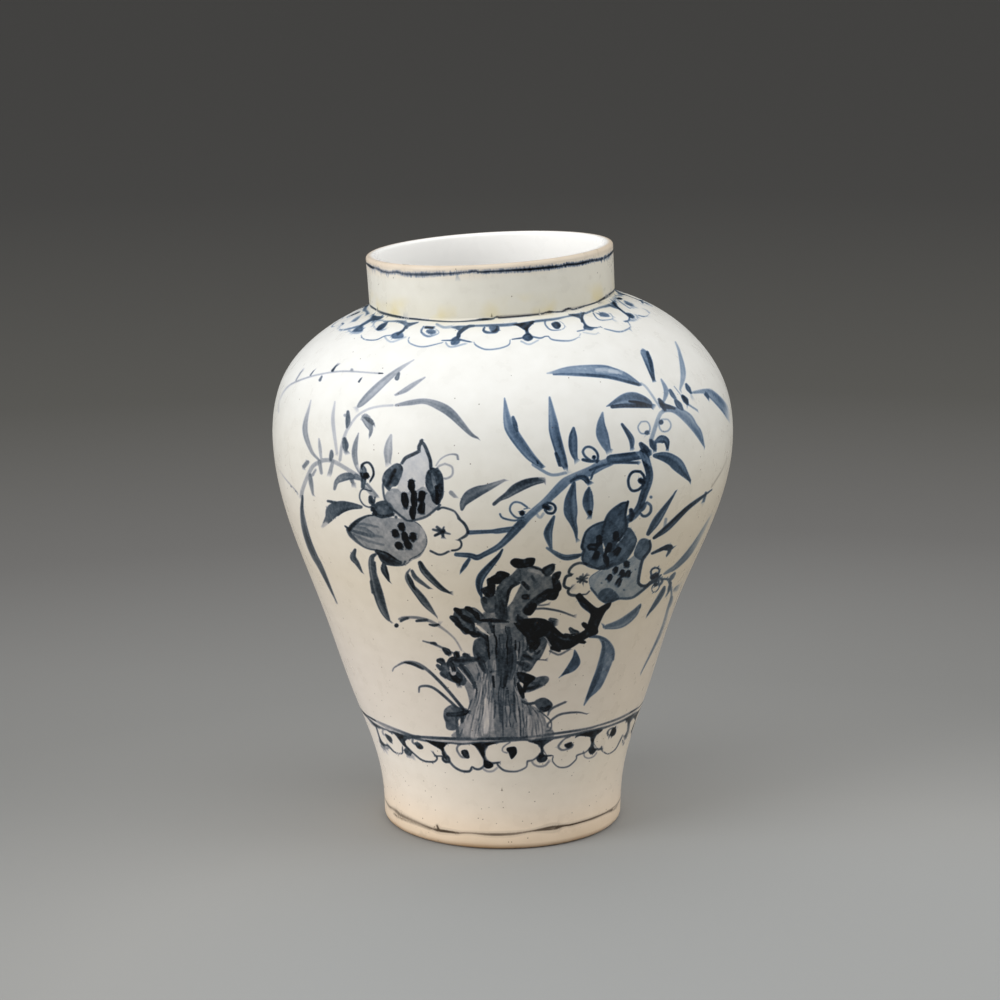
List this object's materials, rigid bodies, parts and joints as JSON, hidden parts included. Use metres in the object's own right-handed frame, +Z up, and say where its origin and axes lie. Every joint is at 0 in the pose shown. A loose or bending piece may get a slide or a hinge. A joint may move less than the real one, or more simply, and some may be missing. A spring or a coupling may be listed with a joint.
{
  "type": "porcelain jar",
  "caption": "Tall glazed porcelain storage jar: high round shoulder, upright wide neck leaning slightly, body tapering to a turned foot, open at the top and hollow inside.",
  "frame": {"origin": "centre of the jar's base on the surface it stands on", "axes": "+Z up along the jar's height, -Y towards the painted front, +X to the right seen from the front; the neck leans towards -X"},
  "size_m": [0.3038, 0.3038, 0.3905],
  "materials": {
    "foot": "thin warm glaze, bare toasted clay at the ground",
    "slip": "matt fired slip",
    "lower_glaze": "glossy warm white glaze with cobalt painting under it",
    "upper_glaze": "glossy white glaze with cobalt painting under it",
    "neck_glaze": "glossy greyish white glaze, lip wiped thin"
  },
  "bodies": {
    "root": {"foot": "foot", "foot_luting": "slip", "lower_body": "lower_glaze", "belly_luting": "slip", "upper_body": "upper_glaze", "neck_luting": "slip", "neck": "neck_glaze"}
  },
  "joints": []
}
